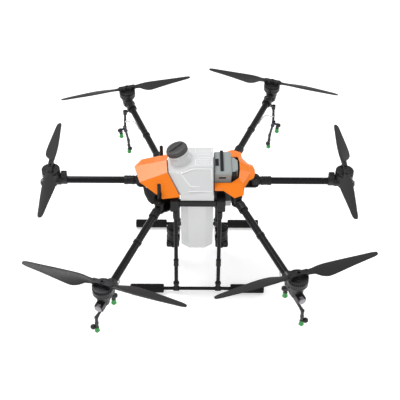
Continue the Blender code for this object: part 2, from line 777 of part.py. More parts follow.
def make_hose(name, points, along, across):
    """The hose from under an arm to its boom's upper rod, in one shallow arch."""
    out = (across * 0.35 - Vector((0, 0, 1))).normalized()
    start = points["hose"] + out * (ARM_RADIUS + HOSE_GAP)
    end = points["bracket"].lerp(points["tee"], 0.5) - along * (ROD_RADIUS + HOSE_GAP)
    route = smooth_route(
        [
            start,
            start + out * 0.012,
            start.lerp(end, 0.35) - across * 0.014 + Vector((0, 0, -0.004)),
            start.lerp(end, 0.68) - across * 0.018 + Vector((0, 0, 0.010)),
            end - along * 0.010 + Vector((0, 0, 0.002)),
            end,
        ],
        HOSE_RADIUS * 4,
    )
    curve = bpy.data.curves.new(name, "CURVE")
    curve.dimensions = "3D"
    curve.bevel_depth = HOSE_RADIUS
    curve.bevel_resolution = 2
    curve.use_fill_caps = True
    line = curve.splines.new("POLY")
    line.points.add(len(route) - 1)
    for spot, point in zip(line.points, route):
        spot.co = (*point, 1.0)
    hose = bpy.data.objects.new(name, curve)
    bpy.context.scene.collection.objects.link(hose)
    curve.materials.append(FINISH["hose"])
    return hose


def make_arms():
    """Every arm with its motor, propeller and, on the side arms, its boom and hose."""
    rises = {(round(prop_z - arm_z, 4), pin[1] == 0) for _, pin, _, arm_z, prop_z, _ in ARMS}
    base_meshes = {key: make_motor_base(*key) for key in sorted(rises)}
    rotor_mesh = make_rotor()
    blade_meshes = {spin: make_blade(spin) for spin in (-1, 1)}
    for name, pin, motor, arm_z, prop_z, spin in ARMS:
        reach = Vector(motor) - Vector(pin)
        angle = math.atan2(reach.y, reach.x)
        arm = make_arm_mesh(reach.length, side_arm=pin[1] != 0)
        named(arm, "arm_" + name, "carbon")
        arm.location = (*pin, arm_z)
        rise = round(prop_z - arm_z, 4)
        arm.rotation_euler.z = angle
        base_mesh = base_meshes[rise, pin[1] == 0]
        base = copy_of(base_mesh, "motor_base_" + name, "black", arm, (reach.length, 0, 0))
        rotor = copy_of(rotor_mesh, "rotor_" + name, "bell", base, (0, 0, rise))
        rotor.rotation_euler.z = math.pi / 2
        for side, letter in ((1, "a"), (-1, "b")):
            place = (side * BOLT_RADIUS, 0, 0)
            blade = copy_of(blade_meshes[spin], "blade_" + name + "_" + letter, "black", rotor, place)
            blade.rotation_euler.z = 0 if side == 1 else math.pi
    for piece in (*base_meshes.values(), rotor_mesh, *blade_meshes.values()):
        bpy.data.objects.remove(piece, do_unlink=True)
    make_sprayers()


def copy_of(source, name, finish, parent, location):
    """A copy that shares its source's mesh, placed in its parent's frame."""
    piece = bpy.data.objects.new(name, source.data)
    bpy.context.scene.collection.objects.link(piece)
    if not source.data.materials:
        source.data.materials.append(FINISH[finish])
        source.data.shade_smooth()
        source.data.set_sharp_from_angle(angle=math.radians(35))
    piece.parent = parent
    piece.location = location
    return piece


def make_sprayers():
    """A boom and its hose under each side arm."""
    for name, pin, motor, arm_z, _, _ in ARMS[2:]:
        points, along, across = boom_points(pin, motor, arm_z)
        named(make_boom(points, along), "spray_boom_" + name, "black")
        make_hose("hose_" + name, points, along, across)


def clear_scene():
    for item in list(bpy.data.objects):
        bpy.data.objects.remove(item, do_unlink=True)


clear_scene()
FINISH = make_finishes()
make_frames()
make_front_cover()
make_rear_cover()
make_posts()
make_internals()
make_landing_gear()
make_tank()
make_pumps()
make_battery()
make_arms()
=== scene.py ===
"""Looks of the agricultural spray drone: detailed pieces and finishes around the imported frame.

Metres, +Z up. The nose points to -X and the drone's left side to -Y.
"""

import json
import math

import bmesh
import bpy
from mathutils import Matrix, Vector


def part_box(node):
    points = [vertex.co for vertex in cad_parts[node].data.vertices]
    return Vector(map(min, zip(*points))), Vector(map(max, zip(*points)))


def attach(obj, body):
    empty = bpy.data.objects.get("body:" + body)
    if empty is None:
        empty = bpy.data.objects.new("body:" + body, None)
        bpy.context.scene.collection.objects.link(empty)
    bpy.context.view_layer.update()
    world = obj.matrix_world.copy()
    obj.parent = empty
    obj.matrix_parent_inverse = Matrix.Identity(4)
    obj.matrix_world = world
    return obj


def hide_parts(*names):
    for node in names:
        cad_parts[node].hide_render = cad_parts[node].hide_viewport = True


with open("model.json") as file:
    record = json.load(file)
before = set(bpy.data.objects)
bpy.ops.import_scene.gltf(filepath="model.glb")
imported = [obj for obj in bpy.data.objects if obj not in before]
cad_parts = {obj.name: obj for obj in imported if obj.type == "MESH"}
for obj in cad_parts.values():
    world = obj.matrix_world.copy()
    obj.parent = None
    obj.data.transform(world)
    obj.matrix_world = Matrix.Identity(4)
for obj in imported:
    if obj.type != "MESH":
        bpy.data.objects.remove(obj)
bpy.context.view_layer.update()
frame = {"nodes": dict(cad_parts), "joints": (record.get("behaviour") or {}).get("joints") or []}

JOINTS = {joint["name"]: joint for joint in frame["joints"]}
ARM_NAMES = ("nose", "tail", "front_left", "front_right", "rear_left", "rear_right")
SIDE_ARMS = ARM_NAMES[2:]
# Which way each propeller turns
SPIN = {"nose": -1, "tail": 1, "front_left": -1, "front_right": 1, "rear_left": 1, "rear_right": -1}
UP = Vector((0, 0, 1))

# Arms, motors and propellers, as the frame has them
TUBE_RADIUS = 0.0175
SLEEVE_RADIUS = 0.023
CLAMP_RADIUS = 0.0265
BELL_RADIUS = 0.0455
BELL_TOP = -0.0112  # from the propeller's plane
BELL_BOTTOM = -0.0515
BOLT_RADIUS = 0.038
LAMP_REACH = 0.0595
HOSE_RADIUS = 0.0032
HINGE_TOP = 0.0268  # the lugs' outer faces above and below the middle of a fold pin
ARM_RING = 0.273  # from the fold pin
SIDE_MOTOR_CLAMP = -0.066  # a tube clamp's open end from the motor's axis
END_MOTOR_CLAMP = -0.078


# ---- camera, light and floor --------------------------------------------------------------

CAMERA_LENS = 71.55  # millimetres, on a sensor 36 wide
CAMERA_PLACE = (-0.0181, -3.1269, 3.0302)
CAMERA_FORWARD = Vector((0.00741, 0.76655, -0.64214))
CAMERA_ROLL = math.radians(0.66)


def make_camera():
    """A long lens in front of the drone's left side, forty degrees up."""
    camera = bpy.data.objects.new("camera", bpy.data.cameras.new("camera"))
    bpy.context.scene.collection.objects.link(camera)
    bpy.context.scene.camera = camera
    camera.data.lens = CAMERA_LENS
    camera.data.sensor_width = 36.0
    turn = CAMERA_FORWARD.normalized().to_track_quat("-Z", "Y").to_matrix().to_4x4()
    roll = Matrix.Rotation(CAMERA_ROLL, 4, "Z")
    camera.matrix_world = Matrix.Translation(CAMERA_PLACE) @ turn @ roll


def make_light(name, place, target, size, power):
    """A square soft light that faces a target."""
    light = bpy.data.lights.new(name, "AREA")
    light.shape = "SQUARE"
    light.size = size
    light.energy = power
    lamp = bpy.data.objects.new(name, light)
    bpy.context.scene.collection.objects.link(lamp)
    lamp.location = place
    lamp.rotation_euler = (Vector(target) - Vector(place)).to_track_quat("-Z", "Y").to_euler()


def make_studio():
    """Pale floor, even sky and soft boxes."""
    scene = bpy.context.scene
    scene.view_settings.view_transform = "Standard"
    world = bpy.data.worlds.new("studio")
    world.use_nodes = True
    sky = world.node_tree.nodes["Background"]
    sky.inputs["Color"].default_value = (1.0, 1.0, 1.0, 1.0)
    sky.inputs["Strength"].default_value = 0.55
    scene.world = world
    middle = (0, 0, 0.5)
    make_light("key", (-1.62, 0.95, 4.1), middle, 1.5, 80.0)
    make_light("front_fill", (0.6, -4.5, 3.0), middle, 2.0, 28.0)
    make_light("right_rim", (3.2, 1.5, 2.6), middle, 1.6, 22.0)
    mesh = bpy.data.meshes.new("floor")
    reach = 30.0
    mesh.from_pydata(
        [(-reach, -reach, 0), (reach, -reach, 0), (reach, reach, 0), (-reach, reach, 0)],
        [],
        [(0, 1, 2, 3)],
    )
    floor = bpy.data.objects.new("floor", mesh)
    scene.collection.objects.link(floor)
    floor.location.z = -0.0005
    mesh.materials.append(FINISH["floor"])


# ---- finishes -----------------------------------------------------------------------------


def finish(name, colour, roughness, metallic=0.0, mottle=0.1, grain=1400.0, bump=0.3, depth=0.0002,
           coat=0.0, specular=0.5):
    """A finish whose colour, gloss and surface all vary a little over the piece."""
    made = bpy.data.materials.new(name)
    made.use_nodes = True
    nodes = made.node_tree.nodes
    links = made.node_tree.links
    shader = nodes["Principled BSDF"]
    shader.inputs["Metallic"].default_value = metallic
    shader.inputs["Specular IOR Level"].default_value = specular
    shader.inputs["Coat Weight"].default_value = coat
    shader.inputs["Coat Roughness"].default_value = 0.12
    place = nodes.new("ShaderNodeTexCoord")

    def noise(scale, detail):
        texture = nodes.new("ShaderNodeTexNoise")
        texture.inputs["Scale"].default_value = scale
        texture.inputs["Detail"].default_value = detail
        links.new(place.outputs["Object"], texture.inputs["Vector"])
        return texture.outputs["Fac"]

    blend = nodes.new("ShaderNodeMix")
    blend.data_type = "RGBA"
    links.new(noise(22.0, 6.0), blend.inputs["Factor"])
    blend.inputs["A"].default_value = (*(c * (1 - mottle) for c in colour), 1.0)
    blend.inputs["B"].default_value = (*(min(c * (1 + mottle), 1.0) for c in colour), 1.0)
    links.new(blend.outputs["Result"], shader.inputs["Base Color"])
    spread = nodes.new("ShaderNodeMapRange")
    spread.inputs["To Min"].default_value = max(roughness - 0.09, 0.05)
    spread.inputs["To Max"].default_value = min(roughness + 0.09, 1.0)
    links.new(noise(75.0, 4.0), spread.inputs["Value"])
    links.new(spread.outputs["Result"], shader.inputs["Roughness"])
    relief = nodes.new("ShaderNodeBump")
    relief.inputs["Strength"].default_value = bump
    relief.inputs["Distance"].default_value = depth
    links.new(noise(grain, 2.0), relief.inputs["Height"])
    links.new(relief.outputs["Normal"], shader.inputs["Normal"])
    return made


def add_weave(made, pitch, light):
    """Lay a twill of tows over a finish, around an X axis: colour follows the twill's diagonals."""
    nodes = made.node_tree.nodes
    links = made.node_tree.links
    place = nodes.new("ShaderNodeTexCoord")
    parts = nodes.new("ShaderNodeSeparateXYZ")
    links.new(place.outputs["Object"], parts.inputs["Vector"])

    def math_node(operation, first, second=None):
        node = nodes.new("ShaderNodeMath")
        node.operation = operation
        for socket, value in zip(node.inputs, (first, second)):
            if isinstance(value, (int, float)):
                socket.default_value = value
            elif value is not None:
                links.new(value, socket)
        return node.outputs["Value"]

    angle = math_node("ARCTAN2", parts.outputs["Y"], parts.outputs["Z"])
    around = math_node("FLOOR", math_node("MULTIPLY", angle, TUBE_RADIUS / pitch))
    length = math_node("FLOOR", math_node("MULTIPLY", parts.outputs["X"], 1 / pitch))
    over = math_node("LESS_THAN", math_node("FLOORED_MODULO", math_node("ADD", around, length), 4.0), 1.5)
    base = nodes["Principled BSDF"].inputs["Base Color"]
    plain = base.links[0].from_socket
    tows = nodes.new("ShaderNodeMix")
    tows.data_type = "RGBA"
    links.new(over, tows.inputs["Factor"])
    links.new(plain, tows.inputs["A"])
    tows.inputs["B"].default_value = (*light, 1.0)
    links.new(tows.outputs["Result"], base)


def make_finishes():
    """Every finish of the drone and of the floor, by name."""
    made = {
        "floor": finish("floor", (0.93, 0.93, 0.93), 0.9, mottle=0.005, bump=0.02, specular=0.1),
        "orange": finish(
            "orange", (1.0, 0.225, 0.004), 0.30, mottle=0.03, grain=900, bump=0.1, coat=0.08, specular=0.32
        ),
        "black": finish(
            "black", (0.009, 0.009, 0.010), 0.44, mottle=0.3, grain=1100, bump=0.5, specular=0.27
        ),
        "carbon": finish("carbon", (0.009, 0.009, 0.010), 0.25, mottle=0.2, bump=0.2, specular=0.12),
        "white": finish("white", (0.73, 0.735, 0.74), 0.24, mottle=0.015, grain=500, bump=0.12, coat=0.35),
        # rim: lighter than the tank's own white, a painted highlight for the rims, ribs and beads of the
        # tank
        "rim": finish("rim", (0.93, 0.935, 0.94), 0.18, mottle=0.01, grain=500, bump=0.1, coat=0.6),
        "lid": finish("lid", (0.062, 0.061, 0.060), 0.5, mottle=0.2, grain=900, bump=0.6),
        "battery": finish("battery", (0.345, 0.378, 0.372), 0.42, mottle=0.05, grain=1300, bump=0.4),
        "foam": finish(
            "foam", (0.009, 0.009, 0.009), 0.95, mottle=0.3, grain=420, bump=1.0, depth=0.0008, specular=0.25
        ),
        "motor": finish("motor", (0.014, 0.014, 0.015), 0.45, mottle=0.3, grain=1100, bump=0.5),
        "bell": finish("bell", (0.030, 0.030, 0.032), 0.34, metallic=0.5, mottle=0.15, bump=0.2),
        "blade": finish("blade", (0.017, 0.017, 0.018), 0.44, grain=1000, bump=0.4, specular=0.4),
        "nozzle": finish("nozzle", (0.010, 0.010, 0.011), 0.38, mottle=0.3, grain=1200, bump=0.3),
        "navy": finish("navy", (0.012, 0.010, 0.032), 0.36, mottle=0.3, grain=1200, bump=0.3),
        "green": finish("green", (0.02, 0.33, 0.05), 0.32, mottle=0.25, grain=900, bump=0.2),
        "hose": finish("hose", (0.72, 0.73, 0.72), 0.30, mottle=0.05, grain=900, bump=0.2, coat=0.2),
        "pump": finish("pump", (0.010, 0.010, 0.011), 0.48, grain=900, bump=0.6, specular=0.3),
        "grey": finish("grey", (0.42, 0.42, 0.43), 0.45, mottle=0.08, grain=1000, bump=0.4),
        "lamp": finish("lamp", (0.33, 0.31, 0.34), 0.3, mottle=0.25, grain=800, bump=0.3, coat=0.3),
        "bolt": finish("bolt", (0.030, 0.030, 0.031), 0.30, metallic=0.5, mottle=0.2, bump=0.15),
    }
    floor = made["floor"].node_tree.nodes["Principled BSDF"]
    floor.inputs["Emission Color"].default_value = (1.0, 1.0, 1.0, 1.0)
    floor.inputs["Emission Strength"].default_value = 0.45
    add_weave(made["carbon"], 0.002, (0.014, 0.014, 0.016))
    return made


# ---- shapes -------------------------------------------------------------------------------


def absorb(bm, part, matrix=None):
    """Add a closed part to a piece, with its faces out."""
    bmesh.ops.recalc_face_normals(part, faces=part.faces)
    if part.calc_volume(signed=True) < 0:
        bmesh.ops.reverse_faces(part, faces=part.faces)
    if matrix is not None:
        part.transform(matrix)
    mesh = bpy.data.meshes.new("part")
    part.to_mesh(mesh)
    part.free()
    bm.from_mesh(mesh)
    bpy.data.meshes.remove(mesh)


def facing(place, direction):
    """A frame at a place whose Z axis points along a direction."""
    turn = Vector(direction).to_track_quat("Z", "Y").to_matrix().to_4x4()
    return Matrix.Translation(Vector(place)) @ turn


def skin(part, rings):
    """Close a body over its rings of vertices, with a flat face at each end."""
    count = len(rings[0])
    for lower, upper in zip(rings, rings[1:]):
        for step in range(count):
            after = (step + 1) % count
            part.faces.new((lower[step], lower[after], upper[after], upper[step]))
    part.faces.new(rings[0][::-1])
    part.faces.new(rings[-1])


def turned(bm, profile, matrix=None, sides=36):
    """A turned body about Z; its profile runs upwards as radius and height."""
    part = bmesh.new()
    rings = []
    for radius, height in profile:
        ring = []
        for step in range(sides):
            angle = math.tau * step / sides
            ring.append(part.verts.new((radius * math.cos(angle), radius * math.sin(angle), height)))
        rings.append(ring)
    skin(part, rings)
    absorb(bm, part, matrix)


def rod(bm, start, end, radius, chamfer=0.0008, sides=32):
    """A round bar between two points, with chamfered ends."""
    start, end = Vector(start), Vector(end)
    length = (end - start).length
    chamfer = min(chamfer, radius * 0.4, length * 0.4)
    tip = radius - chamfer
    profile = [(tip, 0), (radius, chamfer), (radius, length - chamfer), (tip, length)]
    turned(bm, profile, facing(start, end - start), sides)


def hull(bm, points, bevel=0.001, segments=2, matrix=None):
    """The body that wraps some points, with rounded edges."""
    part = bmesh.new()
    for point in points:
        part.verts.new(point)
    wrapped = bmesh.ops.convex_hull(part, input=part.verts)
    spare = [item for item in wrapped["geom_interior"] if isinstance(item, bmesh.types.BMVert)]
    bmesh.ops.delete(part, geom=spare, context="VERTS")
    bmesh.ops.dissolve_limit(part, angle_limit=math.radians(1), verts=part.verts, edges=part.edges)
    if bevel:
        bmesh.ops.bevel(part, geom=part.edges, offset=bevel, segments=segments, profile=0.5, affect="EDGES")
    absorb(bm, part, matrix)


def block(bm, low, high, bevel=0.001, segments=2, matrix=None):
    """A box with rounded edges."""
    corners = [(x, y, z) for x in (low[0], high[0]) for y in (low[1], high[1]) for z in (low[2], high[2])]
    hull(bm, corners, bevel, segments, matrix)


def slab(bm, discs, low, high, bevel, sides=28):
    """A flat plate that wraps discs given as x, y and radius."""
    points = []
    for x, y, radius in discs:
        for step in range(sides):
            angle = math.tau * (step + 0.5) / sides
            for z in (low, high):
                points.append((x + radius * math.cos(angle), y + radius * math.sin(angle), z))
    part = bmesh.new()
    for point in points:
        part.verts.new(point)
    bmesh.ops.convex_hull(part, input=part.verts)
    bmesh.ops.dissolve_limit(part, angle_limit=math.radians(1), verts=part.verts, edges=part.edges)
    rims = [edge for edge in part.edges if edge.calc_face_angle(0) > math.radians(60)]
    bmesh.ops.bevel(part, geom=rims, offset=bevel, segments=2, profile=0.5, affect="EDGES")
    absorb(bm, part)


def screw(bm, place, direction, radius=0.0028, height=0.0028):
    """A socket head screw standing on a surface."""
    profile = [
        (radius, -0.0005),
        (radius, height * 0.75),
        (radius * 0.85, height),
        (radius * 0.5, height),
        (radius * 0.5, height * 0.35),
    ]
    turned(bm, profile, facing(place, direction), 12)


def curve_through(knots, steps):
    """A smooth curve through some points, with a number of steps between each two of them."""
    curve = []
    ends = [knots[0] * 2 - knots[1]] + knots + [knots[-1] * 2 - knots[-2]]
    for before, start, end, after in zip(ends, ends[1:], ends[2:], ends[3:]):
        bend = 2 * before - 5 * start + 4 * end - after
        twist = 3 * start - before - 3 * end + after
        for step in range(steps):
            t = step / steps
            curve.append(0.5 * (2 * start + (end - before) * t + bend * t**2 + twist * t**3))
    curve.append(knots[-1])
    return curve


def smooth_route(points, spacing):
    """Points at an even spacing along a smooth curve through a few chosen points."""
    dense = curve_through(points, 40)
    route = [dense[0]]
    for point in dense:
        if (point - route[-1]).length >= spacing:
            route.append(point)
    if (dense[-1] - route[-1]).length < spacing / 2:
        route.pop()
    route.append(dense[-1])
    return route


def swept(bm, points, radius, sides=14):
    """A round bar that follows points, without twisting."""
    part = bmesh.new()
    rings = []
    side = None
    for index, point in enumerate(points):
        before = points[max(index - 1, 0)]
        after = points[min(index + 1, len(points) - 1)]
        tangent = (after - before).normalized()
        if side is None:
            side = tangent.orthogonal().normalized()
        side = (side - tangent * side.dot(tangent)).normalized()
        other = tangent.cross(side)
        ring = []
        for step in range(sides):
            angle = math.tau * step / sides
            offset = side * math.cos(angle) + other * math.sin(angle)
            ring.append(part.verts.new(point + offset * radius))
        rings.append(ring)
    skin(part, rings)
    absorb(bm, part)


def from_node(node, width, segments=3, least_angle=9):
    """A CAD node's own shape in a new mesh, with its hard edges rounded."""
    part = bmesh.new()
    part.from_mesh(frame["nodes"][node].data)
    bmesh.ops.remove_doubles(part, verts=part.verts, dist=0.00001)
    bmesh.ops.dissolve_limit(part, angle_limit=math.radians(0.6), verts=part.verts, edges=part.edges)
    hard = [edge for edge in part.edges if edge.calc_face_angle(0) > math.radians(least_angle)]
    bmesh.ops.bevel(
        part, geom=hard, offset=width, segments=segments, profile=0.5, affect="EDGES", clamp_overlap=True
    )
    return part


def finished(name, shape, look, sharp=34):
    """A mesh made from a shape, with its finish and its sharp edges."""
    mesh = bpy.data.meshes.new(name)
    shape.to_mesh(mesh)
    shape.free()
    mesh.materials.append(FINISH[look])
    mesh.shade_smooth()
    mesh.set_sharp_from_angle(angle=math.radians(sharp))
    return mesh


def show(name, shape, look, body, matrix=None, stands_for=(), sharp=34):
    """Make a piece from its shape, finish it and let it ride on a body."""
    mesh = finished(name, shape, look, sharp) if isinstance(shape, bmesh.types.BMesh) else shape
    piece = bpy.data.objects.new(name, mesh)
    bpy.context.scene.collection.objects.link(piece)
    if matrix is not None:
        piece.matrix_world = matrix
    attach(piece, body)
    if stands_for:
        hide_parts(*stands_for)
    return piece


def soften(piece):
    """Keep flat faces flat between rounded edges."""
    normals = piece.modifiers.new("flat_faces", "WEIGHTED_NORMAL")
    normals.keep_sharp = True
    return piece


# ---- covers and frames --------------------------------------------------------------------


def make_covers():
    """The two orange covers."""
    for node in ("front_cover", "rear_cover"):
        shape = from_node(node, 0.0018, segments=3)
        soften(show(node + "_shell", shape, "orange", "airframe", stands_for=(node,), sharp=60))


def make_frames():
    """Both end frames, the side rails and the bolt heads of the arm hinges."""
    for node in ("frame_front", "frame_rear"):
        shape = from_node(node, 0.0009, segments=2)
        soften(show(node + "_moulding", shape, "black", "airframe", stands_for=(node,), sharp=60))
    for node in ("side_rail_left", "side_rail_right"):
        shape = from_node(node, 0.001, segments=2)
        soften(show(node + "_bar", shape, "black", "airframe", stands_for=(node,)))
    bolts = bmesh.new()
    for name in ARM_NAMES:
        pin = Vector(JOINTS["fold_" + name]["pos_m"])
        for side in (-1, 1):
            turned(
                bolts,
                [(0.0075, 0.0), (0.0075, 0.0022), (0.0062, 0.003), (0.0035, 0.003), (0.0035, 0.0015)],
                facing(pin + UP * side * HINGE_TOP, UP * side),
                6 if side < 0 else 24,
            )
    show("hinge_bolts", bolts, "bolt", "airframe")


# ---- arms ---------------------------------------------------------------------------------


def arm_places(name):
    """An arm's frame at its pin with X along the arm, its length, and how far up its propeller is."""
    pin = Vector(JOINTS["fold_" + name]["pos_m"])
    hub = Vector(JOINTS["spin_" + name]["pos_m"])
    flat = Vector((hub.x - pin.x, hub.y - pin.y))
    turn = Matrix.Rotation(math.atan2(flat.y, flat.x), 4, "Z")
    return Matrix.Translation(pin) @ turn, flat.length, hub.z - pin.z


def make_arm(name):
    """An arm's woven tube, knuckle, sleeve and ring."""
    place, reach, _ = arm_places(name)
    body = "arm_" + name
    along_x = facing((0, 0, 0), (1, 0, 0))
    tube = bmesh.new()
    rod(tube, (0.080, 0, 0), (reach - 0.021, 0, 0), TUBE_RADIUS, sides=48)
    show(body + "_tube", tube, "carbon", body, place, stands_for=(body,))
    root = bmesh.new()
    knuckle = [(0.019, -0.018), (0.0215, -0.0165), (0.0215, 0.0165), (0.019, 0.018)]
    turned(root, knuckle, sides=40)
    block(root, (0.008, -0.014, -0.017), (0.045, 0.014, 0.017), 0.002)
    sleeve = [
        (0.0185, 0.030),
        (0.0215, 0.034),
        (SLEEVE_RADIUS, 0.038),
        (SLEEVE_RADIUS, 0.046),
        (0.0218, 0.047),
        (0.0218, 0.068),
        (SLEEVE_RADIUS, 0.069),
        (SLEEVE_RADIUS, 0.083),
        (0.0215, 0.086),
        (0.0177, 0.086),
    ]
    turned(root, sleeve, along_x, 48)
    for side in (-1, 1):
        for x in (0.054, 0.062):
            screw(root, (x, side * 0.0135, 0.0155), (0, side * 0.65, 0.75), 0.0024)
    if name in SIDE_ARMS:
        edge = TUBE_RADIUS + 0.0002
        ring = [(edge, -0.0080), (0.0200, -0.0068), (0.0200, 0.0068), (edge, 0.0080)]
        turned(root, ring, facing((ARM_RING, 0, 0), (1, 0, 0)), 40)
        for side in (-1, 1):
            screw(root, (ARM_RING, side * 0.0195, 0), (0, side, 0), 0.0030, 0.0020)
    soften(show(body + "_fittings", root, "black", body, place))


def make_motor(name):
    """A motor's fixed part: tube clamp, cone, controller fins, lamp and, on some arms, a small tower."""
    place, reach, rise = arm_places(name)
    body = "arm_" + name
    place = place @ Matrix.Translation((reach, 0, 0))
    top = rise + BELL_BOTTOM - 0.0015
    along_x = facing((0, 0, 0), (1, 0, 0))
    base = bmesh.new()
    start = SIDE_MOTOR_CLAMP if name in SIDE_ARMS else END_MOTOR_CLAMP
    clamp = [
        (0.0182, start),
        (0.0215, start + 0.001),
        (SLEEVE_RADIUS, start + 0.003),
        (SLEEVE_RADIUS, -0.051),
        (0.0222, -0.049),
        (0.0252, -0.0475),
        (CLAMP_RADIUS, -0.044),
        (CLAMP_RADIUS, -0.028),
        (0.0252, -0.0245),
        (0.0222, -0.023),
        (0.0222, 0.019),
        (0.0190, 0.024),
    ]
    turned(base, clamp, along_x, 48)
    for side in (-1, 1):
        ear_low, ear_high = sorted((side * 0.019, side * 0.0300))
        block(base, (-0.046, ear_low, -0.0065), (-0.026, ear_high, 0.0065), 0.0018)
        for x in (-0.041, -0.031):
            screw(base, (x, side * 0.0275, 0.0065), UP, 0.0022)
            screw(base, (x, side * 0.0275, -0.0065), -UP, 0.0022)
    cone = [
        (0.0200, -0.034),
        (0.0245, -0.030),
        (0.0255, -0.026),
        (0.0285, (top - 0.044) / 2),
        (0.0310, top - 0.018),
        (0.0345, top - 0.013),
        (0.0395, top - 0.008),
        (0.0412, top - 0.005),
        (0.0415, top - 0.002),
        (0.0405, top),
    ]
    turned(base, cone, sides=56)
    for step in range(10):
        angle = math.tau * (step + 0.5) / 10
        turn = Matrix.Rotation(angle, 4, "Z")
        rib = [(0.024, -0.022), (0.0268, -0.022), (0.0330, top - 0.012), (0.028, top - 0.012)]
        hull(base, [(x, y, z) for x, z in rib for y in (-0.0012, 0.0012)], 0.0005, 1, turn)
    outer = LAMP_REACH - 0.006
    controller = [
        (x, side * y, z)
        for side in (-1, 1)
        for x, y, z in (
            (-0.030, 0.019, -0.002),
            (outer, 0.019, -0.004),
            (outer, 0.019, -0.030),
            (-0.012, 0.017, -0.034),
        )
    ]
    hull(base, controller, 0.002)
    for step in range(7):
        y = -0.015 + 0.005 * step
        block(base, (-0.008, y - 0.0009, -0.040), (outer - 0.006, y + 0.0009, -0.029), 0.0004, 1)
    replaced = ("motor_base_" + name,)
    soften(show("motor_base_" + name + "_casting", base, "motor", body, place, stands_for=replaced))
    lamp = bmesh.new()
    profile = [(0.0125, 0.040)]
    for step in range(5):
        start = 0.041 + 0.0034 * step
        profile += [(0.0155, start), (0.0155, start + 0.0016)]
        profile += [(0.0140, start + 0.0020), (0.0140, start + 0.0032)]
    profile += [(0.0145, 0.0580), (0.0110, LAMP_REACH - 0.0002), (0.0050, LAMP_REACH)]
    turned(lamp, profile, facing((0, 0, -0.017), (1, 0, 0)), 32)
    show("motor_lamp_" + name, lamp, "lamp", body, place)
    if name not in SIDE_ARMS:
        tower = bmesh.new()
        block(tower, (-0.077, -0.015, 0.016), (-0.047, 0.015, 0.048), 0.005, 3)
        block(tower, (-0.0765, -0.0155, 0.020), (-0.0475, 0.0155, 0.024), 0.001, 2)
        for side in (-1, 1):
            screw(tower, (-0.062, side * 0.0148, 0.036), (0, side, 0), 0.0026, 0.0012)
        soften(show("arm_beacon_" + name, tower, "black", body, place))


def rotor_shape():
    """The bell, its vents and the two plates that hold the blades."""
    bm = bmesh.new()
    rim = BELL_TOP - 0.0035
    vent_low = BELL_TOP - 0.016
    bell = [
        (0.0415, BELL_BOTTOM),
        (BELL_RADIUS, BELL_BOTTOM + 0.001),
        (BELL_RADIUS, BELL_BOTTOM + 0.005),
        (0.0448, BELL_BOTTOM + 0.0058),
        (BELL_RADIUS, BELL_BOTTOM + 0.0066),
        (BELL_RADIUS, vent_low - 0.001),
        (0.0447, vent_low),
        (0.0405, vent_low),
        (0.0405, rim),
        (0.0447, rim),
        (0.0451, rim + 0.001),
        (0.0440, BELL_TOP - 0.0004),
        (0.0430, BELL_TOP),
        (0.0370, BELL_TOP),
        (0.0362, BELL_TOP - 0.0012),
        (0.0230, BELL_TOP - 0.0012),
        (0.0220, BELL_TOP),
        (0.0160, BELL_TOP),
        (0.0125, BELL_TOP + 0.0014),
        (0.0125, 0.0115),
        (0.0115, 0.0125),
        (0.0065, 0.0125),
        (0.0060, 0.0100),
    ]
    turned(bm, bell, sides=64)
    for step in range(30):
        turn = Matrix.Rotation(math.tau * step / 30, 4, "Z")
        block(bm, (0.0400, -0.0012, vent_low - 0.0002), (0.0449, 0.0012, rim + 0.0002), 0, 1, turn)
    discs = ((-BOLT_RADIUS, 0, 0.0125), (BOLT_RADIUS, 0, 0.0125))
    slab(bm, discs, 0.0062, 0.0098, 0.0007)
    slab(bm, discs, -0.0098, -0.0062, 0.0007)
    return bm


def rotor_screws():
    """The fold bolts, the hub's nut and the bell's screws."""
    bm = bmesh.new()
    for x in (-BOLT_RADIUS, BOLT_RADIUS):
        rod(bm, (x, 0, -0.0110), (x, 0, 0.0098), 0.0036, sides=20)
        head = [(0.0068, 0.0097), (0.0068, 0.0118), (0.0058, 0.0125), (0.003, 0.0125), (0.003, 0.011)]
        turned(bm, head, sides=24)
    for step in range(6):
        angle = math.tau * (step + 0.5) / 6
        place = (0.0275 * math.cos(angle), 0.0275 * math.sin(angle), BELL_TOP - 0.0012)
        screw(bm, place, UP, 0.0024, 0.0018)
    return bm


# A blade's sections: distance from the hub, chord, distance of the leading edge ahead of the bolt
BLADE_SECTIONS = (
    (0.058, 0.027, 0.0125),
    (0.070, 0.034, 0.0150),
    (0.100, 0.056, 0.0185),
    (0.132, 0.065, 0.0195),
    (0.190, 0.058, 0.0180),
    (0.250, 0.047, 0.0150),
    (0.310, 0.036, 0.0115),
    (0.355, 0.028, 0.0090),
    (0.374, 0.020, 0.0060),
    (0.381, 0.012, 0.0030),
)
BLADE_PITCH = 0.250  # how far a blade would screw forward in one turn


def blade_half_thickness(reach):
    """Half of a blade's thickness at a distance from the hub."""
    return max(0.0045 - 0.011 * (reach - 0.046), 0.0012)


def blade_section(reach, chord, lead, spin):
    """One closed section of a blade, from its trailing edge over the top and back below."""
    twist = min(math.atan(BLADE_PITCH / (math.tau * reach)), math.radians(17))
    twist *= min(1.0, (reach - 0.040) / 0.050)
    half = blade_half_thickness(reach)
    shares = [0.5 + 0.5 * math.cos(math.pi * step / 9) for step in range(10)]
    outline = [(share, 1) for share in shares] + [(share, -1) for share in shares[-2:0:-1]]
    points = []
    for back, face in outline:
        body = 2.97 * math.sqrt(back) - 1.26 * back - 3.516 * back**2 + 2.843 * back**3 - 1.015 * back**4
        rise = half * (face * body + back * (1 - back))
        across = lead - back * chord
        y = across * math.cos(twist) - rise * math.sin(twist)
        z = across * math.sin(twist) + rise * math.cos(twist)
        points.append((reach - BOLT_RADIUS, spin * y, z))
    return points


